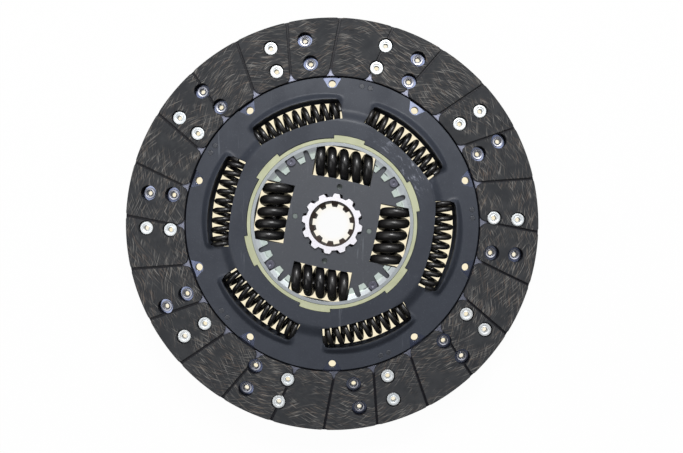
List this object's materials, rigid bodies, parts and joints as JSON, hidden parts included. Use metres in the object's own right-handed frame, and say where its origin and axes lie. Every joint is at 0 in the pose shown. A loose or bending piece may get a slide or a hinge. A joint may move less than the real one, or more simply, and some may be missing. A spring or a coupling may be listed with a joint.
{
  "type": "clutch disc",
  "caption": "Dry clutch disc with riveted friction facings, a waved cushion plate, two stages of torsion springs and a splined hub.",
  "frame": {"origin": "the disc's axis, in the middle plane between the two friction faces", "axes": "+Z along the axis, out of the front with the diaphragm washer; +X and +Y as right and up in the picture"},
  "size_m": [0.33, 0.33, 0.0457],
  "materials": {
    "friction_facing": "matt organic friction material with copper and glass yarn",
    "cushion_steel": "bluish spring sheet",
    "cover_steel": "dark blue-grey phosphate",
    "rivet_steel": "bright zinc",
    "friction_ring": "olive moulded plastic",
    "spring_steel": "black oiled wire",
    "plate_steel": "dark oiled steel",
    "plated_washer": "bright white zinc",
    "bush_plastic": "black moulded plastic",
    "peg_plastic": "grey-green moulded plastic",
    "hub_steel": "machined steel with a light film of oil"
  },
  "bodies": {
    "friction_disc": {"front_facing": "friction_facing", "rear_facing": "friction_facing", "cushion_plate": "cushion_steel", "front_cover": "cover_steel", "rear_cover": "cover_steel", "rim_rivets": "rivet_steel", "front_facing_rivets": "rivet_steel", "rear_facing_rivets": "rivet_steel", "front_friction_ring": "friction_ring", "rear_friction_ring": "friction_ring", "outer_spring_1": "spring_steel", "outer_spring_2": "spring_steel", "outer_spring_3": "spring_steel", "outer_spring_4": "spring_steel", "outer_spring_5": "spring_steel", "outer_spring_6": "spring_steel"},
    "flange": {"intermediate_flange": "plate_steel", "centring_bush": "bush_plastic", "inner_spring_1": "spring_steel", "inner_spring_2": "spring_steel", "inner_spring_3": "spring_steel", "inner_spring_4": "spring_steel"},
    "drive": {"front_drive_plate": "plate_steel", "rear_drive_plate": "plate_steel", "stop_rivets": "plate_steel", "diaphragm_washer": "plated_washer", "front_peg_washer": "peg_plastic", "rear_peg_washer": "peg_plastic"},
    "hub": {"hub": "hub_steel"}
  },
  "joints": [
    {"name": "outer_damper", "type": "hinge", "parent": "friction_disc", "child": "flange", "pos_m": [0, 0, 0], "axis": [0, 0, 1], "range_deg": [-12, 12], "stiffness_Nm_per_rad": 30, "deforming": ["outer_spring_1", "outer_spring_2", "outer_spring_3", "outer_spring_4", "outer_spring_5", "outer_spring_6"]},
    {"name": "inner_damper", "type": "hinge", "parent": "flange", "child": "drive", "pos_m": [0, 0, 0], "axis": [0, 0, 1], "range_deg": [-6.5, 6.5], "stiffness_Nm_per_rad": 20, "deforming": ["inner_spring_1", "inner_spring_2", "inner_spring_3", "inner_spring_4"]},
    {"name": "hub_lash", "type": "hinge", "parent": "drive", "child": "hub", "pos_m": [0, 0, 0], "axis": [0, 0, 1], "range_deg": [-5.2, 0.8]}
  ]
}
